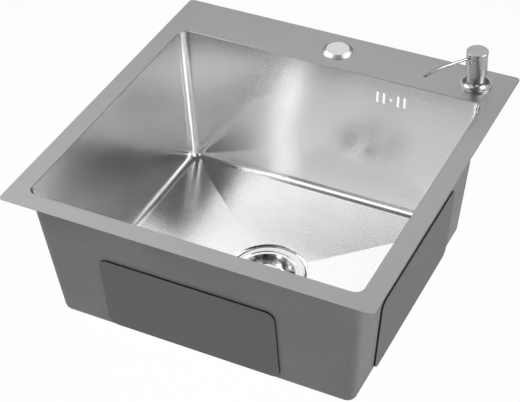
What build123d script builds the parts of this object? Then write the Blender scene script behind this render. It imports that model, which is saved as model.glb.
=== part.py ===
# A drop-in kitchen sink of stainless steel sheet: a flat deck with a welded bowl,
# sound pads, a basket strainer waste, a capped tap hole and a soap pump.
# Units are millimetres. The origin is the middle of the deck in plan, at the height of
# the worktop that the deck's edge seal rests on. +X runs to the right, +Y to the rear
# of the deck and +Z up.
import math
import os

from build123d import *

os.makedirs("parts", exist_ok=True)


# Deck
deck_width = 500.0
deck_depth = 500.0
deck_thickness = 1.5
deck_corner_radius = 6.0
deck_edge_ease = 0.3
side_flange = 26.0
front_flange = 25.0
rear_flange = 76.0
opening_corner_radius = 12.0
opening_edge_round = 1.0

# Rim seal between the deck and the worktop
seal_thickness = 1.5
seal_width = 9.0
seal_inset = 4.0

# Bowl
bowl_depth = 205.0
bowl_wall = 1.2
wall_lean = 17.0
floor_round = 10.0
floor_fall = 10.0
floor_flat = 60.0
weld_lap_width = 7.0

# Overflow openings in the rear wall
overflow_x = 96.0
overflow_drop = 29.5
overflow_slot_height = 18.0
overflow_slot_width = 4.0
overflow_slot_offsets = (-19.6, -10.3, 10.3, 19.6)
overflow_screw_radius = 2.5

# Sound pads on the outside of the bowl's walls
pad_width = 244.0
pad_thickness = 2.5
pad_corner_radius = 12.0
front_pad_drop = 80.0
front_pad_foot_gap = 8.0
front_pad_shift = -11.0
side_pad_drop = 84.0
side_pad_foot_gap = 4.0

# Recess for the waste, and the strainer cup that hangs in it
recess_gap = 2.0
recess_drop = 3.0
waste_hole_gap = 2.2
flange_width = 10.8
flange_height = 3.6
flange_edge_gap = 0.4
flange_crown_inset = 5.5
flange_outer_fall = 1.5
flange_inner_fall = 0.4
cup_radius = 41.8
cup_sheet = 1.0
cup_depth = 44.0
seat_width = 2.4
seat_depth = 2.0
cup_hole_radius = 4.0
cup_hole_land = 1.6
cup_hole_count = 6
gasket_width = 6.0
gasket_gap = 1.2

# Waste housing under the bowl
under_gasket_thickness = 3.0
under_gasket_width = 8.5
housing_gap = 2.5
housing_wall = 2.5
housing_rim_width = 8.5
housing_rim_thickness = 4.0
housing_drop_below_cup = 4.0
cone_drop = 24.0
outlet_bore_radius = 20.0
outlet_wall = 2.6
outlet_thread_height = 1.3
outlet_thread_length = 22.0
outlet_neck_length = 12.0
boss_wall = 2.5
boss_floor = 1.6
rib_thickness = 3.0
rib_count = 4
rib_angle = 45.0
insert_wall = 2.0
insert_length = 10.0
screw_radius = 4.0
screw_head_rim = 2.2
screw_head_height = 3.0
screw_length = 12.0
screw_end_gap = 0.4
screw_socket_depth = 8.0

# Strainer basket, its knob, its stem and the rubber stopper under it
basket_rim_gap = 0.5
basket_mouth_inset = 2.2
basket_bend_inset = 5.3
basket_floor_inset = 13.8
basket_sheet = 0.8
basket_bend_height = 13.0
basket_hole_radius = 2.0
basket_hole_rings = ((15.5, 6), (7.5, 12))
knob_radius = 18.0
knob_height = 4.0
knob_edge_round = 0.8
knob_below_flange = 0.5
knob_boss_wall = 3.0
knob_boss_height = 8.0
stem_radius = 3.0
stem_thread_depth = 6.0
stopper_lap = 4.0
stopper_taper = 7.0
stopper_height = 8.7
stopper_lip = 2.5
stopper_hollow_gap = 1.2

# Tap hole, its cap and what holds the cap down
tap_x = 0.0
tap_inset = 38.0
tap_hole_radius = 17.5
cap_lap = 3.5
cap_rim_height = 1.5
cap_rim_ease = 0.7
cap_height = 4.2
cap_step = 4.0
cap_top_ease = 1.0
cap_ease_height = 0.6
cap_rim_wall = 0.8
cap_hollow_height = 2.6
cap_seal_width = 4.2
cap_seal_gap = 0.4
cap_seal_thickness = 1.0
cap_boss_wall = 3.0
stud_radius = 4.0
stud_length = 34.0
bridge_lap = 9.5
bridge_side = 4.0
bridge_thickness = 3.0
wing_nut_wall = 4.0
wing_nut_height = 8.0
wing_length = 9.0
wing_height = 13.0
wing_tip_height = 5.0
wing_tip_slope = 2.0
wing_root_drop = 1.0
wing_thickness = 3.0

# Soap pump: the fixed base and shank, with the nut under the deck
pump_side_inset = 50.0
pump_inset = 38.0
pump_hole_gap = 0.6
base_foot_width = 9.0
base_edge_height = 2.4
base_flare_height = 9.0
base_seal_width = 6.0
base_seal_thickness = 1.0
neck_wall = 1.3
counterbore_step = 1.2
counterbore_depth = 3.0
shank_wall = 3.0
shank_clamp_length = 17.0
shank_bottle_step = 0.6
shank_length = 42.0
washer_width = 7.0
washer_thickness = 2.5
nut_wall = 5.0
nut_height = 9.0
nut_collar_height = 3.0

# Soap pump: the cylinder and what works in it
pump_stroke = 12.0
cylinder_bore_radius = 8.0
cylinder_wall = 1.5
cylinder_gap = 0.5
cylinder_flange_thickness = 1.5
cylinder_length = 58.0
cylinder_floor_thickness = 1.5
cylinder_foot_height = 3.0
ball_radius = 2.6
ball_travel = 1.5
cage_gap = 0.6
cage_lip_hold = 0.4
cage_lip_height = 1.0
inlet_radius = 1.6
nipple_wall = 3.0
nipple_length = 10.0
nipple_shoulder = 1.0
nipple_shoulder_height = 2.0
collar_flange_thickness = 1.2
collar_plug_depth = 6.0
piston_rest_gap = 10.5
piston_height = 6.0
piston_groove = 1.0
piston_lip = 1.5
piston_shoulder = 1.0
tube_wall = 1.8
tube_bore_radius = 1.6
wire_size = 1.0
coil_inset = 1.8
coil_turns = 6
coil_steps_per_turn = 12

# Soap pump: the turning head and its spout
head_gap = 0.6
head_skirt_lap = 5.5
pressed_skirt_height = 8.5
head_wall = 1.2
head_edge_ease = 0.5
core_stop_gap = 1.2
core_height = 9.2
core_boss_wall = 3.1
core_boss_drop = 3.2
tube_grip = 4.0
spout_bore_radius = 1.4
spout_wall = 0.6
spout_rise = 6.0
spout_angle = -126.0
spout_entry = 3.0
spout_straight = 50.0
spout_reach = 82.0
spout_bend_radius = 101.0

# Clearances: moving fits, fixed fits and soft pieces at rest
running_gap = 0.05
assembly_gap = 0.1
core_gap = 0.15
soft_gap = 0.3


# Sizes, heights and places that follow from the driving dimensions
tap_y = deck_depth / 2 - tap_inset
pump_x = deck_width / 2 - pump_side_inset
pump_y = deck_depth / 2 - pump_inset
deck_bottom = seal_thickness
deck_top = deck_bottom + deck_thickness
opening_width = deck_width - 2 * side_flange
opening_depth = deck_depth - front_flange - rear_flange
bowl_y = (front_flange - rear_flange) / 2
bowl_floor = deck_top - bowl_depth
floor_width = opening_width - 2 * wall_lean
floor_length = opening_depth - 2 * wall_lean
wall_angle = math.degrees(math.atan(wall_lean / (deck_bottom - bowl_floor)))
seat_radius = cup_radius + seat_width
flange_radius = seat_radius + flange_width
flange_crown_radius = flange_radius - flange_crown_inset
recess_radius = flange_radius + recess_gap
waste_hole_radius = cup_radius + cup_sheet + waste_hole_gap
gasket_inner_radius = seat_radius + cup_sheet + gasket_gap
gasket_outer_radius = gasket_inner_radius + gasket_width
recess_floor = bowl_floor - floor_fall - recess_drop
flange_top = recess_floor + flange_height
flange_underside = flange_top - flange_outer_fall - cup_sheet / 2
seat_level = flange_top - seat_depth
cup_floor = flange_top - cup_depth
cup_underside = cup_floor - cup_sheet
under_gasket_top = recess_floor - bowl_wall
housing_top = under_gasket_top - under_gasket_thickness
housing_bore = cup_radius + cup_sheet + housing_gap
housing_radius = housing_bore + housing_wall
outlet_tube_radius = outlet_bore_radius + outlet_wall
outlet_thread_radius = outlet_tube_radius + outlet_thread_height
cone_top = cup_underside - housing_drop_below_cup
cone_bottom = cone_top - cone_drop
outlet_end = cone_bottom - outlet_neck_length - outlet_thread_length
insert_radius = screw_radius + insert_wall
boss_radius = insert_radius + boss_wall
screw_hole_depth = screw_length - cup_sheet + screw_end_gap
boss_height = screw_hole_depth + boss_floor
screw_head_radius = screw_radius + screw_head_rim
screw_head_top = cup_floor + screw_head_height
stopper_hollow_radius = screw_head_radius + stopper_hollow_gap
cup_hole_circle = stopper_hollow_radius + cup_hole_land + cup_hole_radius
stopper_radius = cup_hole_circle + cup_hole_radius + stopper_lap
stopper_top_radius = stopper_radius - stopper_taper
stopper_bottom = cup_floor + soft_gap
basket_rim_radius = seat_radius - basket_rim_gap
basket_lip_radius = cup_radius - basket_mouth_inset
basket_bend_radius = cup_radius - basket_bend_inset
basket_floor_radius = cup_radius - basket_floor_inset
basket_rim_top = seat_level + basket_sheet
basket_underside = stopper_bottom + stopper_height
basket_floor = basket_underside + basket_sheet
basket_bend_level = basket_floor + basket_bend_height
knob_boss_radius = stem_radius + knob_boss_wall
knob_top = flange_top - knob_below_flange
knob_boss_bottom = knob_top - knob_height - knob_boss_height
stem_bottom = screw_head_top - screw_socket_depth + assembly_gap
cap_radius = tap_hole_radius + cap_lap
cap_top_radius = cap_radius - cap_step
cap_recess_radius = cap_radius - cap_rim_wall
cap_hollow_radius = cap_recess_radius - cap_seal_width - cap_seal_gap
cap_boss_radius = stud_radius + cap_boss_wall
cap_top = deck_top + cap_height
cap_rim_top = deck_top + cap_rim_height
stud_top = deck_top + cap_hollow_height
bridge_length = 2 * (tap_hole_radius + bridge_lap)
bridge_width = 2 * (stud_radius + bridge_side)
wing_nut_radius = stud_radius + wing_nut_wall
wing_nut_top = deck_bottom - bridge_thickness
cylinder_radius = cylinder_bore_radius + cylinder_wall
neck_bore_radius = cylinder_radius + cylinder_gap
counterbore_radius = neck_bore_radius + counterbore_step
neck_radius = counterbore_radius + neck_wall
shank_radius = neck_bore_radius + shank_wall
shank_bottle_radius = shank_radius - shank_bottle_step
pump_hole_radius = shank_radius + pump_hole_gap
base_radius = neck_radius + base_foot_width
base_seal_outer = pump_hole_radius + base_seal_width
washer_radius = shank_radius + washer_width
nut_across_flats = 2 * (shank_radius + nut_wall)
nut_top = deck_bottom - washer_thickness
head_bottom = deck_top + pressed_skirt_height + pump_stroke
neck_top = head_bottom + head_skirt_lap
cylinder_flange_bottom = neck_top - counterbore_depth
cylinder_flange_top = cylinder_flange_bottom + cylinder_flange_thickness
cylinder_floor = cylinder_flange_top - cylinder_length
ball_lift = math.sqrt(ball_radius**2 - inlet_radius**2) + running_gap
cage_lip_radius = ball_radius - cage_lip_hold
ball_hold = math.sqrt(ball_radius**2 - cage_lip_radius**2)
cage_height = cage_lip_height + ball_lift + ball_travel + ball_hold + running_gap
cage_radius = ball_radius + cage_gap
nipple_radius = inlet_radius + nipple_wall
cage_top = cylinder_floor - cylinder_floor_thickness
cage_floor = cage_top - cage_height
nipple_end = cage_floor - nipple_length
collar_top = neck_top + collar_flange_thickness
collar_bottom = cylinder_flange_top - collar_plug_depth
tube_radius = tube_bore_radius + tube_wall
coil_radius = cylinder_bore_radius - coil_inset
piston_top = collar_bottom - piston_rest_gap
piston_bottom = piston_top - piston_height
head_inner_radius = neck_radius + head_gap
head_radius = head_inner_radius + head_wall
core_radius = head_inner_radius - core_gap
core_boss_radius = tube_radius + core_boss_wall
core_boss_end = collar_top + pump_stroke + core_stop_gap
core_bottom = core_boss_end + core_boss_drop
head_inner_top = core_bottom + core_height
head_top = head_inner_top + head_wall
tube_top = core_boss_end + tube_grip
tube_bottom = piston_bottom + piston_shoulder
spout_radius = spout_bore_radius + spout_wall
spout_level = core_boss_end + spout_rise


def upright(x, y):
    """Plane through the vertical axis at x, y: its X runs outwards and its Y runs up."""
    return Plane((x, y, 0), x_dir=(1, 0, 0), z_dir=(0, -1, 0))


def vertical(x, y):
    """The vertical axis at x, y."""
    return Axis((x, y, 0), (0, 0, 1))


waste_section = upright(0, bowl_y)
waste_axis = vertical(0, bowl_y)
tap_section = upright(tap_x, tap_y)
tap_axis = vertical(tap_x, tap_y)
pump_section = upright(pump_x, pump_y)
pump_axis = vertical(pump_x, pump_y)


def keep(piece, label):
    """Labels a finished piece and writes its file."""
    piece.part.label = label
    export_step(piece.part, f"parts/{label}.step")


# Deck plate: one flat sheet with the bowl's opening and two round holes. The opening's edge
# is rounded over and the outer edge is only eased.
with BuildPart() as deck_plate:
    with BuildSketch(Plane.XY.offset(deck_bottom)):
        RectangleRounded(deck_width, deck_depth, deck_corner_radius)
        with Locations((0, bowl_y)):
            RectangleRounded(opening_width, opening_depth, opening_corner_radius, mode=Mode.SUBTRACT)
        with Locations((tap_x, tap_y)):
            Circle(tap_hole_radius, mode=Mode.SUBTRACT)
        with Locations((pump_x, pump_y)):
            Circle(pump_hole_radius, mode=Mode.SUBTRACT)
    extrude(amount=deck_thickness)
    upper_face = deck_plate.faces().sort_by(Axis.Z)[-1]
    opening_edges = max(upper_face.inner_wires(), key=lambda wire: wire.length).edges()
    fillet(opening_edges, opening_edge_round)
    upper_face = deck_plate.faces().sort_by(Axis.Z)[-1]
    chamfer(upper_face.outer_wire().edges(), deck_edge_ease)
keep(deck_plate, "deck_plate")


# Rim seal: a flat foam strip under the deck's edge, on which the sink rests.
with BuildPart() as rim_seal:
    with BuildSketch():
        RectangleRounded(deck_width - 2 * seal_inset, deck_depth - 2 * seal_inset, deck_corner_radius)
        offset(amount=-seal_width, kind=Kind.INTERSECTION, mode=Mode.SUBTRACT)
    extrude(amount=seal_thickness)
keep(rim_seal, "rim_seal")


def hipped_block(top, top_size, bottom, bottom_size):
    """A block with four sloping sides: what its front and its side outlines have in common."""
    with BuildPart() as block:
        with BuildSketch(Plane.XZ):
            with BuildLine():
                Polyline(
                    (-top_size[0] / 2, top),
                    (top_size[0] / 2, top),
                    (bottom_size[0] / 2, bottom),
                    (-bottom_size[0] / 2, bottom),
                    close=True,
                )
            make_face()
        extrude(amount=top_size[1], both=True)
        with BuildSketch(Plane.YZ):
            with BuildLine():
                Polyline(
                    (bowl_y - top_size[1] / 2, top),
                    (bowl_y + top_size[1] / 2, top),
                    (bowl_y + bottom_size[1] / 2, bottom),
                    (bowl_y - bottom_size[1] / 2, bottom),
                    close=True,
                )
            make_face()
        extrude(amount=top_size[0], both=True, mode=Mode.INTERSECT)
    return block.part


def bowl_form(wall):
    """The bowl's hollow grown by a wall: leaning sides, a rounded foot and a floor that falls
    in four planes, with creases from its corners, to a flat round the waste."""
    foot = bowl_floor - wall
    sides = hipped_block(
        deck_bottom,
        (opening_width + 2 * wall, opening_depth + 2 * wall),
        foot,
        (floor_width + 2 * wall, floor_length + 2 * wall),
    )
    fall = hipped_block(
        foot,
        (floor_width - 2 * floor_round, floor_length - 2 * floor_round),
        foot - floor_fall,
        (floor_flat, floor_flat),
    )
    with BuildPart() as form:
        add(sides)
        leaning_edges = form.edges().filter_by(lambda edge: abs((edge @ 1).Z - (edge @ 0).Z) > 1)
        fillet(leaning_edges, opening_corner_radius + wall)
        fillet(form.edges().group_by(Axis.Z)[0], floor_round + wall)
        add(fall)
    return form.part


# Rear wall's outer face as a plane, for the overflow openings: its Y runs down the wall.
rear_wall_y = bowl_y + opening_depth / 2 - math.tan(math.radians(wall_angle)) * (overflow_drop - deck_thickness)
rear_wall = Plane(
    (overflow_x, rear_wall_y, deck_top - overflow_drop),
    x_dir=(1, 0, 0),
    z_dir=(0, math.cos(math.radians(wall_angle)), -math.sin(math.radians(wall_angle))),
)

bowl_inside = bowl_form(0)
bowl_outside = bowl_form(bowl_wall)

# Bowl: sheet steel sides and a creased floor, with a lap that is welded under the deck,
# a recess and a hole for the waste, and the overflow slots with their screw hole.
with BuildPart() as bowl:
    add(bowl_outside)
    with BuildSketch(Plane.XY.offset(deck_bottom)):
        with Locations((0, bowl_y)):
            RectangleRounded(
                opening_width + 2 * (bowl_wall + weld_lap_width),
                opening_depth + 2 * (bowl_wall + weld_lap_width),
                opening_corner_radius + bowl_wall + weld_lap_width,
            )
    extrude(amount=-bowl_wall)
    with BuildSketch(Plane.XY.offset(recess_floor - bowl_wall)):
        with Locations((0, bowl_y)):
            Circle(recess_radius + bowl_wall)
    extrude(amount=bowl_wall + recess_drop + floor_fall / 2)
    add(bowl_inside, mode=Mode.SUBTRACT)
    with BuildSketch(Plane.XY.offset(recess_floor)):
        with Locations((0, bowl_y)):
            Circle(recess_radius)
    extrude(amount=recess_drop + floor_fall, mode=Mode.SUBTRACT)
    with BuildSketch(Plane.XY.offset(recess_floor)):
        with Locations((0, bowl_y)):
            Circle(waste_hole_radius)
    extrude(amount=-2 * bowl_wall, mode=Mode.SUBTRACT)
    with BuildSketch(rear_wall):
        with Locations(*((shift, 0) for shift in overflow_slot_offsets)):
            SlotOverall(overflow_slot_height, overflow_slot_width, rotation=90)
        Circle(overflow_screw_radius)
    extrude(amount=3 * bowl_wall, both=True, mode=Mode.SUBTRACT)
keep(bowl, "bowl")


# Sound pads: bitumen sheets stuck to the outside of the four walls.
outer_angle = math.degrees(math.atan(wall_lean / (deck_bottom - bowl_floor + bowl_wall)))


def wall_face(turn, half_span, sideways, drop):
    """Plane on the outside of a leaning wall: X runs along the wall and Z away from the bowl.
    The wall is the front one at turn 0, and the others follow anticlockwise from above."""
    height = deck_top - drop
    lean = math.tan(math.radians(outer_angle)) * (deck_bottom - height)
    reach = half_span + bowl_wall - lean
    outward = Vector(0, -1, 0).rotate(Axis.Z, turn)
    along = Vector(1, 0, 0).rotate(Axis.Z, turn)
    centre = Vector(0, bowl_y, height) + outward * reach + along * sideways
    down_tilt = math.radians(outer_angle)
    normal = outward * math.cos(down_tilt) - Vector(0, 0, math.sin(down_tilt))
    return Plane(centre, x_dir=along, z_dir=normal)


pad_places = {
    "front_pad": (0, opening_depth / 2, front_pad_shift, front_pad_drop, front_pad_foot_gap),
    "right_pad": (90, opening_width / 2, 0, side_pad_drop, side_pad_foot_gap),
    "rear_pad": (180, opening_depth / 2, 0, side_pad_drop, side_pad_foot_gap),
    "left_pad": (270, opening_width / 2, 0, side_pad_drop, side_pad_foot_gap),
}
for pad_name, (turn, half_span, sideways, drop, foot_gap) in pad_places.items():
    pad_height = bowl_depth - drop - foot_gap
    with BuildPart() as pad:
        with BuildSketch(wall_face(turn, half_span, sideways, drop + pad_height / 2)):
            RectangleRounded(pad_width, pad_height, pad_corner_radius)
        extrude(amount=pad_thickness)
    keep(pad, pad_name)


# Strainer cup: a pressed cup whose domed flange hangs in the bowl's recess. A step inside
# the flange is the basket's seat, and its floor has a ring of drain holes.
with BuildPart() as strainer_cup:
    with BuildSketch(waste_section):
        with BuildLine():
            Polyline(
                (seat_radius, flange_top - flange_inner_fall),
                (seat_radius, seat_level),
                (cup_radius, seat_level),
                (cup_radius, cup_floor),
                (screw_radius + assembly_gap, cup_floor),
                (screw_radius + assembly_gap, cup_underside),
                (cup_radius + cup_sheet, cup_underside),
                (cup_radius + cup_sheet, seat_level - cup_sheet),
                (seat_radius + cup_sheet, seat_level - cup_sheet),
                (seat_radius + cup_sheet, flange_underside),
                (flange_radius - cup_sheet, flange_underside),
                (flange_radius - cup_sheet, recess_floor + flange_edge_gap),
                (flange_radius, recess_floor + flange_edge_gap),
                (flange_radius, flange_top - flange_outer_fall),
            )
            ThreePointArc(
                (flange_radius, flange_top - flange_outer_fall),
                (flange_crown_radius, flange_top),
                (seat_radius, flange_top - flange_inner_fall),
            )
        make_face()
    revolve(axis=waste_axis)
    with BuildSketch(Plane.XY.offset(cup_floor)):
        with Locations((0, bowl_y)):
            with PolarLocations(cup_hole_circle, cup_hole_count):
                Circle(cup_hole_radius)
    extrude(amount=-cup_sheet, mode=Mode.SUBTRACT)
keep(strainer_cup, "strainer_cup")


# Flange gasket: a soft ring squeezed between the flange's dome and the recess.
with BuildPart() as flange_gasket:
    with BuildSketch(Plane.XY.offset(recess_floor)):
        with Locations((0, bowl_y)):
            Circle(gasket_outer_radius)
            Circle(gasket_inner_radius, mode=Mode.SUBTRACT)
    extrude(amount=flange_underside - recess_floor)
keep(flange_gasket, "flange_gasket")


# Lower gasket: a flat rubber ring between the bowl and the housing's rim.
with BuildPart() as under_gasket:
    with BuildSketch(Plane.XY.offset(housing_top)):
        with Locations((0, bowl_y)):
            Circle(housing_bore + under_gasket_width)
            Circle(housing_bore, mode=Mode.SUBTRACT)
    extrude(amount=under_gasket_thickness)
keep(under_gasket, "under_gasket")


# The space inside the waste housing, down to the start of its outlet.
with BuildPart() as housing_space:
    with BuildSketch(waste_section):
        with BuildLine():
            Polyline(
                (0, housing_top),
                (housing_bore, housing_top),
                (housing_bore, cone_top),
                (outlet_bore_radius, cone_bottom),
                (0, cone_bottom),
                close=True,
            )
        make_face()
    revolve(axis=waste_axis)

# The housing's spider: a closed boss for the centre screw, on a cross of ribs that reach the
# wall. It is cut to the housing's inside.
with BuildPart() as spider:
    with BuildSketch(Plane.XY.offset(cup_underside - boss_height)):
        with Locations((0, bowl_y)):
            Circle(boss_radius)
    extrude(amount=boss_height)
    with BuildSketch(Plane.XY.offset(cup_underside - boss_height)):
        with Locations((0, bowl_y)):
            with PolarLocations(housing_bore / 2, rib_count, start_angle=rib_angle):
                Rectangle(housing_bore, rib_thickness)
    extrude(amount=boss_height - housing_drop_below_cup)
    add(housing_space.part, mode=Mode.INTERSECT)
    with Locations((0, bowl_y, cup_underside)):
        Hole(insert_radius, depth=insert_length)
        Hole(screw_radius + assembly_gap, depth=screw_hole_depth)

# Waste housing: a moulded plastic body with a clamping rim, a funnel and a threaded outlet.
with BuildPart() as waste_housing:
    with BuildSketch(waste_section):
        with BuildLine():
            Polyline(
                (housing_bore, housing_top),
                (housing_bore + housing_rim_width, housing_top),
                (housing_bore + housing_rim_width, housing_top - housing_rim_thickness),
                (housing_radius, housing_top - housing_rim_thickness),
                (housing_radius, cone_top),
                (outlet_tube_radius, cone_bottom),
                (outlet_tube_radius, outlet_end + outlet_thread_length),
                (outlet_thread_radius, outlet_end + outlet_thread_length),
                (outlet_thread_radius, outlet_end),
                (outlet_bore_radius, outlet_end),
                (outlet_bore_radius, cone_bottom),
                (housing_bore, cone_top),
                close=True,
            )
        make_face()
    revolve(axis=waste_axis)
    add(spider.part)
keep(waste_housing, "waste_housing")


# Screw insert: a brass bush moulded into the spider.
with BuildPart() as screw_insert:
    with BuildSketch(Plane.XY.offset(cup_underside)):
        with Locations((0, bowl_y)):
            Circle(insert_radius)
            Circle(screw_radius + running_gap, mode=Mode.SUBTRACT)
    extrude(amount=-insert_length)
keep(screw_insert, "screw_insert")


# Centre screw: it draws the cup down on its gasket, and its hollow head guides the stem.
with BuildPart() as centre_screw:
    with BuildSketch(waste_section):
        with BuildLine():
            Polyline(
                (stem_radius + running_gap, screw_head_top),
                (screw_head_radius, screw_head_top),
                (screw_head_radius, cup_floor),
                (screw_radius, cup_floor),
                (screw_radius, cup_floor - screw_length),
                (0, cup_floor - screw_length),
                (0, screw_head_top - screw_socket_depth),
                (stem_radius + running_gap, screw_head_top - screw_socket_depth),
                close=True,
            )
        make_face()
    revolve(axis=waste_axis)
keep(centre_screw, "centre_screw")


# Basket: a pressed dish with a flat rim that lies on the cup's seat, rings of round holes
# in its floor and a hole for the stem.
with BuildPart() as basket:
    with BuildSketch(waste_section):
        with BuildLine():
            Polyline(
                (basket_rim_radius, basket_rim_top),
                (basket_lip_radius, basket_rim_top),
                (basket_bend_radius, basket_bend_level),
                (basket_floor_radius, basket_floor),
                (stem_radius, basket_floor),
            )
            offset(amount=basket_sheet, side=Side.LEFT, kind=Kind.INTERSECTION)
        make_face()
    revolve(axis=waste_axis)
    for ring_inset, hole_count in basket_hole_rings:
        with BuildSketch(Plane.XY.offset(basket_floor)):
            with Locations((0, bowl_y)):
                with PolarLocations(basket_floor_radius - ring_inset, hole_count):
                    Circle(basket_hole_radius)
        extrude(amount=-basket_sheet, mode=Mode.SUBTRACT)
keep(basket, "basket")


# Basket knob: a round grip on a boss that is threaded for the stem.
with BuildPart() as basket_knob:
    with BuildSketch(waste_section):
        with BuildLine():
            Polyline(
                (0, knob_top),
                (knob_radius - knob_edge_round, knob_top),
                (knob_radius, knob_top - knob_edge_round),
                (knob_radius, knob_top - knob_height),
                (knob_boss_radius, knob_top - knob_height),
                (knob_boss_radius, knob_boss_bottom),
                (stem_radius, knob_boss_bottom),
                (stem_radius, knob_boss_bottom + stem_thread_depth),
                (0, knob_boss_bottom + stem_thread_depth),
                close=True,
            )
        make_face()
    revolve(axis=waste_axis)
keep(basket_knob, "basket_knob")


# Basket stem: a chromed rod from the knob, through the basket's floor and the stopper, into
# the centre screw's head.
with BuildPart() as basket_stem:
    with BuildSketch(Plane.XY.offset(stem_bottom)):
        with Locations((0, bowl_y)):
            Circle(stem_radius)
    extrude(amount=knob_boss_bottom + stem_thread_depth - stem_bottom)
    chamfer(basket_stem.edges().group_by(Axis.Z)[0], stem_radius / 4)
keep(basket_stem, "basket_stem")


# Stopper: a rubber cone on the stem under the basket. It covers the cup's drain holes and
# is hollow round the screw's head.
with BuildPart() as stopper:
    with BuildSketch(waste_section):
        with BuildLine():
            Polyline(
                (stem_radius, basket_underside),
                (stopper_top_radius, basket_underside),
                (stopper_radius, stopper_bottom + stopper_lip),
                (stopper_radius, stopper_bottom),
                (stopper_hollow_radius, stopper_bottom),
                (stopper_hollow_radius, screw_head_top + soft_gap),
                (stem_radius, screw_head_top + soft_gap),
                close=True,
            )
        make_face()
    revolve(axis=waste_axis)
keep(stopper, "stopper")


# Tap-hole cap: a stepped, hollow disc with a threaded boss under it. A recess under its
# edge holds the seal.
with BuildPart() as hole_cap:
    with BuildSketch(tap_section):
        with BuildLine():
            Polyline(
                (0, cap_top),
                (cap_top_radius - cap_top_ease, cap_top),
                (cap_top_radius, cap_top - cap_ease_height),
                (cap_radius - cap_rim_ease, cap_rim_top),
                (cap_radius, cap_rim_top - cap_ease_height),
                (cap_radius, deck_top),
                (cap_recess_radius, deck_top),
                (cap_recess_radius, deck_top + cap_seal_thickness),
                (cap_hollow_radius, deck_top + cap_seal_thickness),
                (cap_hollow_radius, stud_top),
                (cap_boss_radius, stud_top),
                (cap_boss_radius, deck_top),
                (stud_radius, deck_top),
                (stud_radius, stud_top),
                (0, stud_top),
                close=True,
            )
        make_face()
    revolve(axis=tap_axis)
keep(hole_cap, "hole_cap")


# Cap seal: a soft ring in the recess under the cap, round the tap hole.
with BuildPart() as cap_seal:
    with BuildSketch(Plane.XY.offset(deck_top)):
        with Locations((tap_x, tap_y)):
            Circle(cap_recess_radius - assembly_gap)
            Circle(cap_recess_radius - cap_seal_width, mode=Mode.SUBTRACT)
    extrude(amount=cap_seal_thickness)
keep(cap_seal, "cap_seal")


# Cap stud: a threaded rod from the cap's boss down through the tap hole.
with BuildPart() as cap_stud:
    with BuildSketch(Plane.XY.offset(stud_top)):
        with Locations((tap_x, tap_y)):
            Circle(stud_radius)
    extrude(amount=-stud_length)
    chamfer(cap_stud.edges().group_by(Axis.Z)[0], stud_radius / 5)
keep(cap_stud, "cap_stud")


# Cap bridge: a steel bar that spans the tap hole from below.
with BuildPart() as cap_bridge:
    with BuildSketch(Plane.XY.offset(wing_nut_top)):
        with Locations((tap_x, tap_y)):
            SlotOverall(bridge_length, bridge_width)
            Circle(stud_radius + assembly_gap, mode=Mode.SUBTRACT)
    extrude(amount=bridge_thickness)
keep(cap_bridge, "cap_bridge")


# Wing nut: a round hub on the stud with two wings to turn it by, hanging down and outwards.
with BuildPart() as wing_nut:
    with BuildSketch(Plane.XY.offset(wing_nut_top)):
        with Locations((tap_x, tap_y)):
            Circle(wing_nut_radius)
    extrude(amount=-wing_nut_height, taper=6)
    with BuildSketch(Plane.XZ.offset(-tap_y)):
        with BuildLine():
            Polyline(
                (tap_x, wing_nut_top - wing_root_drop),
                (tap_x + wing_nut_radius, wing_nut_top - wing_root_drop),
                (tap_x + wing_nut_radius + wing_length, wing_nut_top - wing_height + wing_tip_height),
                (tap_x + wing_nut_radius + wing_length - wing_tip_slope, wing_nut_top - wing_height),
                (tap_x + wing_nut_radius, wing_nut_top - wing_nut_height),
                (tap_x, wing_nut_top - wing_nut_height),
                close=True,
            )
        make_face()
        mirror(about=Plane.YZ.offset(tap_x))
    extrude(amount=wing_thickness / 2, both=True)
    with Locations((tap_x, tap_y, wing_nut_top)):
        Hole(stud_radius + running_gap)
keep(wing_nut, "wing_nut")


# Pump base: a turned piece with a flared foot, a neck for the head and, below the deck, a
# threaded shank for the nut and the bottle. It is bored through for the cylinder.
with BuildPart() as pump_base:
    with BuildSketch(pump_section):
        with BuildLine():
            Polyline(
                (base_seal_outer, deck_top),
                (base_radius, deck_top),
                (base_radius, deck_top + base_edge_height),
            )
            ThreePointArc(
                (base_radius, deck_top + base_edge_height),
                (
                    neck_radius + 0.24 * (base_radius - neck_radius),
                    deck_top + base_edge_height + 0.36 * (base_flare_height - base_edge_height),
                ),
                (neck_radius, deck_top + base_flare_height),
            )
            Polyline(
                (neck_radius, deck_top + base_flare_height),
                (neck_radius, neck_top),
                (counterbore_radius, neck_top),
                (counterbore_radius, cylinder_flange_bottom),
                (neck_bore_radius, cylinder_flange_bottom),
                (neck_bore_radius, deck_top - shank_length),
                (shank_bottle_radius, deck_top - shank_length),
                (shank_bottle_radius, deck_top - shank_clamp_length),
                (shank_radius, deck_top - shank_clamp_length),
                (shank_radius, deck_top + base_seal_thickness),
                (base_seal_outer, deck_top + base_seal_thickness),
                (base_seal_outer, deck_top),
            )
        make_face()
    revolve(axis=pump_axis)
keep(pump_base, "pump_base")


# Base seal: a soft ring in the recess under the foot, round the hole in the deck.
with BuildPart() as base_seal:
    with BuildSketch(Plane.XY.offset(deck_top)):
        with Locations((pump_x, pump_y)):
            Circle(base_seal_outer - assembly_gap)
            Circle(shank_radius + assembly_gap, mode=Mode.SUBTRACT)
    extrude(amount=base_seal_thickness)
keep(base_seal, "base_seal")


# Shank washer: a rubber washer between the deck and the nut.
with BuildPart() as shank_washer:
    with BuildSketch(Plane.XY.offset(deck_bottom)):
        with Locations((pump_x, pump_y)):
            Circle(washer_radius)
            Circle(shank_radius + assembly_gap, mode=Mode.SUBTRACT)
    extrude(amount=-washer_thickness)
keep(shank_washer, "shank_washer")


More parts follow.
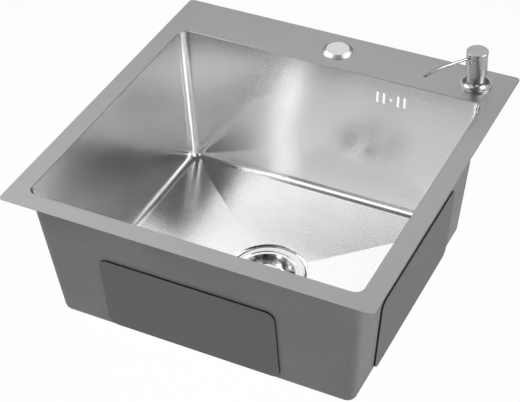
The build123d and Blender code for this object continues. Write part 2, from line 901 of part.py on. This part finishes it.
# Shank nut: a plastic hexagon nut with a round collar, which clamps the pump to the deck.
with BuildPart() as shank_nut:
    with BuildSketch(Plane.XY.offset(nut_top)):
        with Locations((pump_x, pump_y)):
            Circle(washer_radius)
    extrude(amount=-nut_collar_height)
    with BuildSketch(Plane.XY.offset(nut_top - nut_collar_height)):
        with Locations((pump_x, pump_y)):
            RegularPolygon(nut_across_flats / 2, 6, major_radius=False)
    extrude(amount=nut_collar_height - nut_height)
    with Locations((pump_x, pump_y, nut_top)):
        Hole(shank_radius + running_gap)
keep(shank_nut, "shank_nut")


# Pump cylinder: a plastic tube that hangs in the neck by its flange, with the inlet's ball
# cage and a nipple for a suction hose at its foot.
with BuildPart() as pump_cylinder:
    with BuildSketch(pump_section):
        with BuildLine():
            Polyline(
                (cylinder_bore_radius, cylinder_flange_top),
                (counterbore_radius - assembly_gap, cylinder_flange_top),
                (counterbore_radius - assembly_gap, cylinder_flange_bottom),
                (cylinder_radius, cylinder_flange_bottom),
                (cylinder_radius, cylinder_floor - cylinder_foot_height),
                (nipple_radius + nipple_shoulder, cage_floor),
                (nipple_radius, cage_floor - nipple_shoulder_height),
                (nipple_radius, nipple_end),
                (inlet_radius, nipple_end),
                (inlet_radius, cage_floor),
                (cage_radius, cage_floor),
                (cage_radius, cage_top - cage_lip_height),
                (cage_lip_radius, cage_top - cage_lip_height),
                (cage_lip_radius, cylinder_floor),
                (cylinder_bore_radius, cylinder_floor),
                close=True,
            )
        make_face()
    revolve(axis=pump_axis)
keep(pump_cylinder, "pump_cylinder")


# Inlet ball: a loose ball that rises to let soap in and drops to keep it there.
with BuildPart() as inlet_ball:
    with Locations((pump_x, pump_y, cage_floor + ball_lift)):
        Sphere(ball_radius)
keep(inlet_ball, "inlet_ball")


# Pump collar: a plug in the neck that holds the cylinder down and guides the tube.
with BuildPart() as pump_collar:
    with BuildSketch(pump_section):
        with BuildLine():
            Polyline(
                (tube_radius + running_gap, collar_top),
                (neck_radius, collar_top),
                (neck_radius, neck_top),
                (counterbore_radius - assembly_gap, neck_top),
                (counterbore_radius - assembly_gap, cylinder_flange_top),
                (cylinder_bore_radius - assembly_gap, cylinder_flange_top),
                (cylinder_bore_radius - assembly_gap, collar_bottom),
                (tube_radius + running_gap, collar_bottom),
                close=True,
            )
        make_face()
    revolve(axis=pump_axis)
keep(pump_collar, "pump_collar")


# Piston: a plastic seal on the tube's foot, with a lip at each end.
with BuildPart() as piston:
    with BuildSketch(pump_section):
        with BuildLine():
            Polyline(
                (tube_radius, piston_top),
                (cylinder_bore_radius - running_gap, piston_top),
                (cylinder_bore_radius - piston_groove, piston_top - piston_lip),
                (cylinder_bore_radius - piston_groove, piston_bottom + piston_lip),
                (cylinder_bore_radius - running_gap, piston_bottom),
                (tube_bore_radius, piston_bottom),
                (tube_bore_radius, tube_bottom),
                (tube_radius, tube_bottom),
                close=True,
            )
        make_face()
    revolve(axis=pump_axis)
keep(piston, "piston")


# Pump tube: a hollow rod that carries the piston and the head, and that the soap rises in.
with BuildPart() as pump_tube:
    with BuildSketch(Plane.XY.offset(tube_bottom)):
        with Locations((pump_x, pump_y)):
            Circle(tube_radius)
            Circle(tube_bore_radius, mode=Mode.SUBTRACT)
    extrude(amount=tube_top - tube_bottom)
keep(pump_tube, "pump_tube")


# Return spring: a steel coil between the cylinder's floor and the piston, lofted through
# square sections of its wire.
spring_bottom = cylinder_floor + wire_size / 2 + running_gap
spring_top = piston_bottom - wire_size / 2 - running_gap
coil_steps = coil_turns * coil_steps_per_turn
with BuildPart() as return_spring:
    for step in range(coil_steps + 1):
        turn = math.radians(360 * step / coil_steps_per_turn)
        height = spring_bottom + (spring_top - spring_bottom) * step / coil_steps
        outward = Vector(math.cos(turn), math.sin(turn), 0)
        wire_centre = Vector(pump_x, pump_y, height) + outward * coil_radius
        with BuildSketch(Plane(wire_centre, x_dir=outward, z_dir=(-outward.Y, outward.X, 0))):
            Rectangle(wire_size, wire_size)
    loft(ruled=True)
keep(return_spring, "return_spring")


# The spout's own upright plane: its X runs along the spout and its Y up.
spout_turn = math.radians(spout_angle)
spout_plane = Plane(
    (pump_x, pump_y, spout_level),
    x_dir=(math.cos(spout_turn), math.sin(spout_turn), 0),
    z_dir=(math.sin(spout_turn), -math.cos(spout_turn), 0),
)
spout_start = Plane(
    spout_plane.from_local_coords((spout_entry, 0, 0)),
    z_dir=spout_plane.x_dir,
)

# Spout: a bent steel tube, straight out of the head and then curving down over the bowl.
spout_bend = math.degrees(math.asin((spout_reach - spout_straight) / spout_bend_radius))
with BuildPart() as spout:
    with BuildLine(spout_plane) as spout_line:
        spout_run = Line((spout_entry, 0), (spout_straight, 0))
        JernArc(spout_run @ 1, (1, 0), spout_bend_radius, -spout_bend)
    with BuildSketch(spout_start):
        Circle(spout_radius)
        Circle(spout_bore_radius, mode=Mode.SUBTRACT)
    sweep(path=spout_line.line)
keep(spout, "spout")


# Head core: a moulded plug in the head. It turns on the tube and leads the soap to the spout.
with BuildPart() as head_core:
    with BuildSketch(pump_section):
        with BuildLine():
            Polyline(
                (0, head_inner_top),
                (core_radius, head_inner_top),
                (core_radius, core_bottom),
                (core_boss_radius, core_bottom),
                (core_boss_radius, core_boss_end),
                (tube_radius + running_gap, core_boss_end),
                (tube_radius + running_gap, tube_top + running_gap),
                (tube_bore_radius, tube_top + running_gap),
                (tube_bore_radius, spout_level),
                (0, spout_level),
                close=True,
            )
        make_face()
    revolve(axis=pump_axis)
    with BuildSketch(spout_start):
        Circle(spout_radius + running_gap)
    extrude(amount=head_radius, mode=Mode.SUBTRACT)
    with BuildSketch(Plane(spout_plane.origin, z_dir=spout_plane.x_dir)):
        Circle(spout_bore_radius)
    extrude(amount=spout_entry, mode=Mode.SUBTRACT)
keep(head_core, "head_core")


# Pump head: a drawn steel cap, open below, with a hole in its side for the spout.
with BuildPart() as pump_head:
    with BuildSketch(pump_section):
        with BuildLine():
            Polyline(
                (0, head_top),
                (head_radius, head_top),
                (head_radius, head_bottom),
                (head_inner_radius, head_bottom),
                (head_inner_radius, head_inner_top),
                (0, head_inner_top),
                close=True,
            )
        make_face()
    revolve(axis=pump_axis)
    chamfer(pump_head.edges().group_by(Axis.Z)[-1], head_edge_ease)
    with BuildSketch(spout_start):
        Circle(spout_radius + running_gap)
    extrude(amount=2 * head_radius, mode=Mode.SUBTRACT)
keep(pump_head, "pump_head")
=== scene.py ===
"""Drop-in kitchen sink of stainless steel with a basket strainer, a capped tap hole and a soap pump."""

import math

import bpy
from mathutils import Matrix, Vector


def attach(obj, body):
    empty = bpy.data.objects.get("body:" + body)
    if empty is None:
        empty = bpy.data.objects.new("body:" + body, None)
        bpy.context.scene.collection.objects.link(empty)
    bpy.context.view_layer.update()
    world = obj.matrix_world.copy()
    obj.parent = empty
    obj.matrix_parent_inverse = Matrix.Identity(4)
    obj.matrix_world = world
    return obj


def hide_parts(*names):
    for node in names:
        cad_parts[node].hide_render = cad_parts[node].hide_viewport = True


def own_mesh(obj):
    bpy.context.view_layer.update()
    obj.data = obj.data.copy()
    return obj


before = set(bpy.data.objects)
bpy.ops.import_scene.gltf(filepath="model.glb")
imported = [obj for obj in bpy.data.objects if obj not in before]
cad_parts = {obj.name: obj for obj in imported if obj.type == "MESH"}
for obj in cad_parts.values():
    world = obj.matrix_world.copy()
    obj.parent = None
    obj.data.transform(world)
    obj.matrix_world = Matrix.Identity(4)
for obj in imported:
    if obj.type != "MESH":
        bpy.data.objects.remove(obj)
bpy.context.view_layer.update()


# Deck plate: flat sheet of 18/10 stainless steel, belt-ground to a satin face with a fine
# straight grain from left to right, and rounded over where the opening was pressed.
def linear(hex_code):
    """An sRGB hex colour, such as #A8A8A6, as the linear colour that a shader takes."""
    shares = [int(hex_code[i : i + 2], 16) / 255 for i in (1, 3, 5)]
    return [s / 12.92 if s <= 0.04045 else ((s + 0.055) / 1.055) ** 2.4 for s in shares] + [1.0]


def add_node(tree, kind, settings, inputs):
    """Adds a shader node. An input is a plain value or the output socket of another node."""
    node = tree.nodes.new("ShaderNode" + kind)
    for name, value in settings.items():
        setattr(node, name, value)
    for name, value in inputs.items():
        if isinstance(value, bpy.types.NodeSocket):
            tree.links.new(value, node.inputs[name])
        else:
            node.inputs[name].default_value = value
    return node


def new_material(name):
    """An empty material and its node tree."""
    material = bpy.data.materials.new(name)
    material.use_nodes = True
    material.node_tree.nodes.clear()
    return material, material.node_tree


def two_tone(tree, share, dark, light):
    """A colour that goes from one sRGB hex colour to another as share goes from 0 to 1."""
    tones = {"Factor": share, "A": linear(dark), "B": linear(light)}
    return add_node(tree, "Mix", {"data_type": "RGBA"}, tones).outputs["Result"]


def cover(tree, inputs):
    """Ends a material in one principled surface."""
    surface = add_node(tree, "BsdfPrincipled", {}, inputs)
    add_node(tree, "OutputMaterial", {}, {"Surface": surface.outputs[0]})


def finish_node(node_name, material):
    """Gives a carried-over node its material."""
    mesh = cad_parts[node_name].data
    mesh.materials.clear()
    mesh.materials.append(material)


# The grain of a 180-grit belt is 0.1 mm wide. It is drawn 0.9 mm wide, so that it shows.
satin_sheet, tree = new_material("belt_ground_stainless_sheet")
place = add_node(tree, "TexCoord", {}, {})
along_grain = add_node(
    tree, "Mapping", {}, {"Vector": place.outputs["Object"], "Scale": (12.0, 1100.0, 1100.0)}
)
grain = add_node(
    tree, "TexNoise", {}, {"Vector": along_grain.outputs[0], "Scale": 1.0, "Detail": 3.0, "Roughness": 0.6}
)
clouds = add_node(tree, "TexNoise", {}, {"Vector": place.outputs["Object"], "Scale": 9.0, "Detail": 2.0})
grain_share = add_node(
    tree, "MapRange", {},
    {"Value": grain.outputs["Fac"], "From Min": 0.3, "From Max": 0.7, "To Min": 0.0, "To Max": 1.0},
)
steel_colour = two_tone(tree, grain_share.outputs[0], "#A1A1A0", "#A8A8A7")
steel_gloss = add_node(
    tree, "MapRange", {},
    {"Value": clouds.outputs["Fac"], "From Min": 0.3, "From Max": 0.7, "To Min": 0.31, "To Max": 0.37},
)
scratches = add_node(
    tree, "Bump", {}, {"Strength": 0.2, "Distance": 0.00001, "Height": grain.outputs["Fac"]}
)
cover(tree, {
    "Base Color": steel_colour, "Metallic": 1.0, "Roughness": steel_gloss.outputs[0],
    "Normal": scratches.outputs[0],
})
finish_node("deck_plate", satin_sheet)


# Rim seal: a strip of closed-cell foam stuck under the deck's edge, pressed thin between
# the sink and the worktop. Its cells give it a dull, slightly pitted skin.
foam, tree = new_material("closed_cell_foam")
place = add_node(tree, "TexCoord", {}, {})
cells = add_node(
    tree, "TexVoronoi", {"feature": "F1"}, {"Vector": place.outputs["Object"], "Scale": 900.0}
)
foam_colour = two_tone(tree, cells.outputs["Distance"], "#2C2C2E", "#3C3C3E")
pits = add_node(
    tree, "Bump", {}, {"Strength": 0.6, "Distance": 0.0002, "Height": cells.outputs["Distance"]}
)
cover(tree, {"Base Color": foam_colour, "Roughness": 0.9, "Normal": pits.outputs[0]})
finish_node("rim_seal", foam)


# Bowl: folded from sheet with a rolled linen pattern on its inner face, welded at the corners
# and to the deck. Outside it carries a sprayed grey coat against noise and condensation.
# The pattern's cells are 5.5 mm long and 3 mm high, in rows set half a cell apart.
bowl_middle = (0.0, -0.0255, -0.1)
bowl_steel, tree = new_material("linen_embossed_stainless_and_sprayed_coat")
place = add_node(tree, "TexCoord", {}, {})
shape = add_node(tree, "NewGeometry", {}, {})
from_middle = add_node(
    tree, "VectorMath", {"operation": "SUBTRACT"}, {0: place.outputs["Object"], 1: bowl_middle}
)
facing = add_node(
    tree, "VectorMath", {"operation": "DOT_PRODUCT"},
    {0: shape.outputs["True Normal"], 1: from_middle.outputs[0]},
)
outside = add_node(
    tree, "Math", {"operation": "GREATER_THAN"}, {0: facing.outputs["Value"], 1: 0.0}
)
spot = add_node(tree, "SeparateXYZ", {}, {0: place.outputs["Object"]})
tilt = add_node(tree, "SeparateXYZ", {}, {0: shape.outputs["True Normal"]})
across = add_node(tree, "Math", {"operation": "ABSOLUTE"}, {0: tilt.outputs["X"]})
on_side_wall = add_node(tree, "Math", {"operation": "GREATER_THAN"}, {0: across.outputs[0], 1: 0.7})
upright = add_node(tree, "Math", {"operation": "ABSOLUTE"}, {0: tilt.outputs["Z"]})
on_floor = add_node(tree, "Math", {"operation": "GREATER_THAN"}, {0: upright.outputs[0], 1: 0.7})
run = add_node(
    tree, "Mix", {"data_type": "FLOAT"},
    {"Factor": on_side_wall.outputs[0], "A": spot.outputs["X"], "B": spot.outputs["Y"]},
)
rise = add_node(
    tree, "Mix", {"data_type": "FLOAT"},
    {"Factor": on_floor.outputs[0], "A": spot.outputs["Z"], "B": spot.outputs["Y"]},
)
cell_length = 0.0055
cell_height = 0.0030
row = add_node(tree, "Math", {"operation": "DIVIDE"}, {0: rise.outputs["Result"], 1: cell_height})
row_number = add_node(tree, "Math", {"operation": "FLOOR"}, {0: row.outputs[0]})
row_shift = add_node(tree, "Math", {"operation": "MULTIPLY"}, {0: row_number.outputs[0], 1: 0.5})
column = add_node(
    tree, "Math", {"operation": "MULTIPLY_ADD"},
    {0: run.outputs["Result"], 1: 1 / cell_length, 2: row_shift.outputs[0]},
)
in_column = add_node(tree, "Math", {"operation": "FRACT"}, {0: column.outputs[0]})
in_row = add_node(tree, "Math", {"operation": "FRACT"}, {0: row.outputs[0]})
half_column = add_node(tree, "Math", {"operation": "SUBTRACT"}, {0: in_column.outputs[0], 1: 0.5})
half_row = add_node(tree, "Math", {"operation": "SUBTRACT"}, {0: in_row.outputs[0], 1: 0.5})
column_square = add_node(tree, "Math", {"operation": "POWER"}, {0: half_column.outputs[0], 1: 2.0})
cell_round = add_node(
    tree, "Math", {"operation": "MULTIPLY_ADD"},
    {0: half_row.outputs[0], 1: half_row.outputs[0], 2: column_square.outputs[0]},
)
lens = add_node(
    tree, "MapRange", {"interpolation_type": "SMOOTHSTEP"},
    {"Value": cell_round.outputs[0], "From Min": 0.0, "From Max": 0.25, "To Min": 1.0, "To Max": 0.0},
)
emboss = add_node(tree, "Bump", {}, {"Strength": 0.5, "Distance": 0.00006, "Height": lens.outputs[0]})
polish = add_node(
    tree, "TexNoise", {}, {"Vector": place.outputs["Object"], "Scale": 14.0, "Detail": 3.0}
)
bowl_gloss = add_node(
    tree, "MapRange", {},
    {"Value": polish.outputs["Fac"], "From Min": 0.3, "From Max": 0.7, "To Min": 0.15, "To Max": 0.20},
)
bare_steel = add_node(
    tree, "BsdfPrincipled", {},
    {
        "Base Color": linear("#E8E8E8"), "Metallic": 1.0, "Roughness": bowl_gloss.outputs[0],
        "Normal": emboss.outputs[0],
    },
)
specks = add_node(
    tree, "TexNoise", {}, {"Vector": place.outputs["Object"], "Scale": 700.0, "Detail": 4.0, "Roughness": 0.7}
)
spray_drift = add_node(
    tree, "TexNoise", {}, {"Vector": place.outputs["Object"], "Scale": 11.0, "Detail": 2.0}
)
speck_share = add_node(
    tree, "Math", {"operation": "MULTIPLY_ADD"},
    {0: spray_drift.outputs["Fac"], 1: 0.5, 2: specks.outputs["Fac"]},
)
coat_share = add_node(
    tree, "MapRange", {}, {"Value": speck_share.outputs[0], "From Min": 0.5, "From Max": 1.0}
)
coat_colour = two_tone(tree, coat_share.outputs[0], "#747475", "#8B8B8C")
coat_grain = add_node(
    tree, "Bump", {}, {"Strength": 0.7, "Distance": 0.00025, "Height": specks.outputs["Fac"]}
)
sprayed_coat = add_node(
    tree, "BsdfPrincipled", {},
    {"Base Color": coat_colour, "Roughness": 0.75, "Normal": coat_grain.outputs[0]},
)
both_faces = add_node(
    tree, "MixShader", {},
    {0: outside.outputs[0], 1: bare_steel.outputs[0], 2: sprayed_coat.outputs[0]},
)
add_node(tree, "OutputMaterial", {}, {"Surface": both_faces.outputs[0]})
finish_node("bowl", bowl_steel)


# Sound pads: sheets of black bitumen rubber with their corners rounded, glued to the four
# walls and sprayed over with the bowl's coat, which leaves their cut edges black.
def sprayed_pad(name, wall_axis):
    """Grey where the pad's face looks along wall_axis, black rubber on its cut edges."""
    material, tree = new_material(name)
    place = add_node(tree, "TexCoord", {}, {})
    shape = add_node(tree, "NewGeometry", {}, {})
    tilt = add_node(tree, "SeparateXYZ", {}, {0: shape.outputs["True Normal"]})
    square_on = add_node(tree, "Math", {"operation": "ABSOLUTE"}, {0: tilt.outputs[wall_axis]})
    on_face = add_node(tree, "Math", {"operation": "GREATER_THAN"}, {0: square_on.outputs[0], 1: 0.9})
    specks = add_node(
        tree, "TexNoise", {},
        {"Vector": place.outputs["Object"], "Scale": 600.0, "Detail": 4.0, "Roughness": 0.7},
    )
    face_colour = two_tone(tree, specks.outputs["Fac"], "#606061", "#787879")
    pad_colour = add_node(
        tree, "Mix", {"data_type": "RGBA"},
        {"Factor": on_face.outputs[0], "A": linear("#202020"), "B": face_colour},
    )
    skin = add_node(tree, "Bump", {}, {"Strength": 0.6, "Distance": 0.0003, "Height": specks.outputs["Fac"]})
    cover(tree, {"Base Color": pad_colour.outputs["Result"], "Roughness": 0.8, "Normal": skin.outputs[0]})
    return material


front_rear_pads = sprayed_pad("sprayed_bitumen_rubber_front_and_rear", "Y")
side_pads = sprayed_pad("sprayed_bitumen_rubber_sides", "X")
for pad_name in ("front_pad", "rear_pad"):
    finish_node(pad_name, front_rear_pads)
for pad_name in ("left_pad", "right_pad"):
    finish_node(pad_name, side_pads)


# Strainer: the cup, the basket and its knob are drawn from stainless sheet and polished on
# a lathe, which leaves faint rings round the waste's axis. The flange rim is mirror bright.
def turned_metal(name, axis_place, dark, light, gloss, ring_width):
    """Metal finished on a lathe: fine rings, ring_width apart, round an upright axis."""
    material, tree = new_material(name)
    place = add_node(tree, "TexCoord", {}, {})
    from_axis = add_node(
        tree, "VectorMath", {"operation": "SUBTRACT"}, {0: place.outputs["Object"], 1: (*axis_place, 0.0)}
    )
    flat = add_node(
        tree, "VectorMath", {"operation": "MULTIPLY"}, {0: from_axis.outputs[0], 1: (1.0, 1.0, 0.0)}
    )
    radius = add_node(tree, "VectorMath", {"operation": "LENGTH"}, {0: flat.outputs[0]})
    spot = add_node(tree, "SeparateXYZ", {}, {0: place.outputs["Object"]})
    ring_place = add_node(
        tree, "Math", {"operation": "ADD"}, {0: radius.outputs["Value"], 1: spot.outputs["Z"]}
    )
    rings = add_node(
        tree, "TexNoise", {"noise_dimensions": "1D"},
        {"W": ring_place.outputs[0], "Scale": 1 / ring_width, "Detail": 3.0, "Roughness": 0.6},
    )
    wipes = add_node(tree, "TexNoise", {}, {"Vector": place.outputs["Object"], "Scale": 60.0, "Detail": 2.0})
    colour = two_tone(tree, rings.outputs["Fac"], dark, light)
    smoothest, roughest = gloss * 0.85, gloss * 1.2
    roughness = add_node(
        tree, "MapRange", {},
        {
            "Value": wipes.outputs["Fac"], "From Min": 0.3, "From Max": 0.7,
            "To Min": smoothest, "To Max": roughest,
        },
    )
    marks = add_node(
        tree, "Bump", {}, {"Strength": 0.15, "Distance": 0.000006, "Height": rings.outputs["Fac"]}
    )
    cover(tree, {
        "Base Color": colour, "Metallic": 1.0, "Roughness": roughness.outputs[0],
        "Normal": marks.outputs[0],
    })
    return material


waste_axis = (0.0, -0.0255)
polished_steel = turned_metal("lathe_polished_stainless", waste_axis, "#D2D2D2", "#E4E4E4", 0.13, 0.0006)
for cup_name in ("strainer_cup", "basket", "basket_knob", "basket_stem"):
    finish_node(cup_name, polished_steel)


# Gaskets, stopper and pump seal: black nitrile rubber, moulded with a fine matt skin that
# picks up a little grey bloom.
rubber, tree = new_material("black_nitrile_rubber")
place = add_node(tree, "TexCoord", {}, {})
bloom = add_node(tree, "TexNoise", {}, {"Vector": place.outputs["Object"], "Scale": 80.0, "Detail": 4.0})
skin_grain = add_node(
    tree, "TexNoise", {}, {"Vector": place.outputs["Object"], "Scale": 1500.0, "Detail": 2.0}
)
rubber_colour = two_tone(tree, bloom.outputs["Fac"], "#1C1C1C", "#2C2C2C")
skin = add_node(tree, "Bump", {}, {"Strength": 0.3, "Distance": 0.0001, "Height": skin_grain.outputs["Fac"]})
cover(tree, {"Base Color": rubber_colour, "Roughness": 0.6, "Normal": skin.outputs[0]})
for seal_name in ("flange_gasket", "under_gasket", "stopper", "cap_seal", "base_seal"):
    finish_node(seal_name, rubber)


# Waste housing and the pump's hidden parts: white polypropylene, injection moulded, with a
# soft sheen and the faint orange peel of a spark-eroded mould.
moulded_white, tree = new_material("moulded_white_polypropylene")
place = add_node(tree, "TexCoord", {}, {})
flow = add_node(tree, "TexNoise", {}, {"Vector": place.outputs["Object"], "Scale": 25.0, "Detail": 3.0})
peel = add_node(tree, "TexNoise", {}, {"Vector": place.outputs["Object"], "Scale": 900.0, "Detail": 2.0})
plastic_colour = two_tone(tree, flow.outputs["Fac"], "#DAD9D4", "#E6E5E1")
skin = add_node(tree, "Bump", {}, {"Strength": 0.25, "Distance": 0.0001, "Height": peel.outputs["Fac"]})
cover(tree, {
    "Base Color": plastic_colour, "Roughness": 0.42, "IOR": 1.49, "Normal": skin.outputs[0],
    "Subsurface Weight": 0.08, "Subsurface Scale": 0.002,
})


# Screw insert: a turned brass bush, moulded into the housing's boss.
brass = turned_metal("turned_brass", waste_axis, "#B08F48", "#CDAE68", 0.28, 0.0005)
finish_node("screw_insert", brass)
finish_node("centre_screw", polished_steel)


# Tap-hole cap: a pressed and turned stainless disc with a satin face and a brighter rim,
# held down from below by a stud, a bridge and a wing nut of zinc-plated steel.
tap_axis = (0.0, 0.212)
satin_cap = turned_metal("turned_satin_stainless_cap", tap_axis, "#D6D6D6", "#E4E4E4", 0.33, 0.0007)
finish_node("hole_cap", satin_cap)
zinc_plate, tree = new_material("zinc_plated_steel")
place = add_node(tree, "TexCoord", {}, {})
spangle = add_node(
    tree, "TexVoronoi", {"feature": "F1"}, {"Vector": place.outputs["Object"], "Scale": 260.0}
)
patches = add_node(tree, "TexNoise", {}, {"Vector": place.outputs["Object"], "Scale": 70.0, "Detail": 4.0})
zinc_colour = two_tone(tree, patches.outputs["Fac"], "#AEB2B6", "#CDD0D0")
zinc_gloss = add_node(
    tree, "MapRange", {}, {"Value": spangle.outputs["Distance"], "To Min": 0.3, "To Max": 0.48}
)
cover(tree, {"Base Color": zinc_colour, "Metallic": 1.0, "Roughness": zinc_gloss.outputs[0]})
for clamp_name in ("cap_stud", "cap_bridge", "wing_nut"):
    finish_node(clamp_name, zinc_plate)


# Soap pump: the base, the turning head and the bent spout are brass plated with nickel and
# brushed round their axis. The cylinder, piston, tube and core are white plastic, and the
# spring and the inlet ball are stainless steel.
pump_axis = (0.2, 0.212)
brushed_nickel = turned_metal("brushed_nickel_plate", pump_axis, "#A4A4A3", "#B6B6B5", 0.27, 0.0005)
for pump_name in ("pump_base", "pump_head", "spout"):
    finish_node(pump_name, brushed_nickel)
spring_wire = turned_metal("drawn_spring_wire", pump_axis, "#9A9A9A", "#B4B4B4", 0.3, 0.0004)
finish_node("inlet_ball", spring_wire)
for plastic_name in (
    "waste_housing", "shank_washer", "shank_nut", "pump_cylinder",
    "pump_collar", "piston", "pump_tube", "head_core",
):
    finish_node(plastic_name, moulded_white)


# Return spring: six turns of drawn stainless wire, a round section swept up the pump's axis.
# It stands on the cylinder's floor and keeps its rest length, fixed to the root.
coil_foot, coil_top = -0.02995, 0.00445
coil_radius, wire_radius = 0.0062, 0.0005
coil_turns, steps_per_turn, wire_sides = 6, 32, 12
bpy.ops.object.select_all(action="DESELECT")
bpy.ops.mesh.primitive_circle_add(
    vertices=wire_sides, radius=wire_radius, fill_type="NOTHING",
    location=(coil_radius, 0, 0), rotation=(math.pi / 2, 0, 0),
)
spring_coil = bpy.context.object
spring_coil.name = "spring_coil"
bpy.ops.object.transform_apply(location=True, rotation=True, scale=True)
winding = spring_coil.modifiers.new("winding", "SCREW")
winding.axis = "Z"
winding.angle = 2 * math.pi
winding.screw_offset = (coil_top - coil_foot) / coil_turns
winding.iterations = coil_turns
winding.steps = winding.render_steps = steps_per_turn
bpy.ops.object.modifier_apply(modifier=winding.name)
bpy.ops.object.mode_set(mode="EDIT")
bpy.ops.mesh.select_all(action="SELECT")
bpy.ops.mesh.fill_holes(sides=wire_sides)
bpy.ops.mesh.select_all(action="SELECT")
bpy.ops.mesh.normals_make_consistent(inside=False)
bpy.ops.object.mode_set(mode="OBJECT")
spring_coil.location = (pump_axis[0], pump_axis[1], coil_foot)
bpy.ops.object.transform_apply(location=True, rotation=True, scale=True)
bpy.ops.object.shade_smooth_by_angle(angle=math.radians(40))
spring_coil.data.materials.append(spring_wire)
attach(spring_coil, "root")
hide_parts("return_spring")
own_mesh(spring_coil)


# Studio floor: white paper at a worktop's height below the deck, seen white by the camera
# while it keeps the sink's soft shadow.
floor_level = -0.9
floor_width = 12
glow_share = 0.9
bpy.ops.object.select_all(action="DESELECT")
bpy.ops.mesh.primitive_plane_add(size=floor_width, location=(0, 0, floor_level))
floor = bpy.context.object
floor.name = "studio_floor"
floor_paper, tree = new_material("floor_paper")
paper = add_node(tree, "BsdfDiffuse", {}, {"Color": linear("#F4F4F4")})
glow = add_node(tree, "Emission", {}, {"Color": (1, 1, 1, 1), "Strength": 1.0})
path = add_node(tree, "LightPath", {}, {})
seen = add_node(tree, "Math", {"operation": "MULTIPLY"}, {0: path.outputs["Is Camera Ray"], 1: glow_share})
blend = add_node(tree, "MixShader", {}, {0: seen.outputs[0], 1: paper.outputs[0], 2: glow.outputs[0]})
add_node(tree, "OutputMaterial", {}, {"Surface": blend.outputs[0]})
floor.data.materials.append(floor_paper)


# Studio light: a dim even room and nine softboxes, four at the left and front left, three at
# the right and front right, and two behind. Each has its bearing in degrees, turning from the
# front to the right, its height in degrees, its width and height in metres and its brightness.
world = bpy.data.worlds.new("studio")
bpy.context.scene.world = world
world.use_nodes = True
world.node_tree.nodes.clear()
room_light = 0.12
path = add_node(world.node_tree, "LightPath", {}, {})
strength = add_node(
    world.node_tree, "Mix", {"data_type": "FLOAT"},
    {"Factor": path.outputs["Is Camera Ray"], "A": room_light, "B": 1.0},
)
room = add_node(
    world.node_tree, "Background", {}, {"Color": (1, 1, 1, 1), "Strength": strength.outputs["Result"]}
)
add_node(world.node_tree, "OutputWorld", {}, {"Surface": room.outputs[0]})

lamp_distance = 3.0
softboxes = {
    "right_softbox": (103, 34, 1.8, 1.5, 6.5),
    "right_overhead": (126, 54, 1.6, 1.4, 1.6),
    "front_right_fill": (41, 16, 1.5, 0.9, 2.0),
    "left_softbox": (268, 48, 2.0, 1.6, 4.2),
    "left_low": (280, 26, 2.4, 1.2, 1.4),
    "front_left_low": (330, 12, 1.8, 1.0, 1.2),
    "front_left_high": (332, 42, 2.2, 1.8, 1.45),
    "rear_right_high": (152, 40, 1.8, 1.4, 1.1),
    "rear_panel": (210, 42, 2.4, 2.0, 1.0),
}
for lamp_name, (bearing, lamp_lift, lamp_width, lamp_height, brightness) in softboxes.items():
    turn, lift = math.radians(bearing), math.radians(lamp_lift)
    towards = Vector((math.sin(turn) * math.cos(lift), -math.cos(turn) * math.cos(lift), math.sin(lift)))
    softbox = bpy.data.lights.new(lamp_name, "AREA")
    softbox.shape = "RECTANGLE"
    softbox.size = lamp_width
    softbox.size_y = lamp_height
    softbox.energy = brightness * math.pi * lamp_width * lamp_height
    lamp = bpy.data.objects.new(lamp_name, softbox)
    bpy.context.scene.collection.objects.link(lamp)
    lamp.location = towards * lamp_distance
    lamp.rotation_euler = towards.to_track_quat("Z", "Y").to_euler()


# Camera, as the photograph's: solved from the edges of the deck and the bowl.
camera_place = Vector((0.7162, -1.3912, 1.1777))
azimuth = math.radians(27.84)
elevation = math.radians(39.33)
roll = math.radians(-2.36)
sensor_width, focal_length = 36.0, 105.66
level = math.cos(elevation)
back = Vector((math.sin(azimuth) * level, -math.cos(azimuth) * level, math.sin(elevation)))
right = (-back).cross(Vector((0, 0, 1))).normalized()
up = right.cross(-back)
camera_data = bpy.data.cameras.new("camera")
camera_data.sensor_width = sensor_width
camera_data.lens = focal_length
camera = bpy.data.objects.new("camera", camera_data)
bpy.context.scene.collection.objects.link(camera)
turned_right = right * math.cos(roll) + up * math.sin(roll)
turned_up = up * math.cos(roll) - right * math.sin(roll)
camera.matrix_world = Matrix((
    (turned_right.x, turned_up.x, back.x, camera_place.x),
    (turned_right.y, turned_up.y, back.y, camera_place.y),
    (turned_right.z, turned_up.z, back.z, camera_place.z),
    (0, 0, 0, 1),
))
bpy.context.scene.camera = camera
bpy.context.scene.view_settings.view_transform = "Standard"
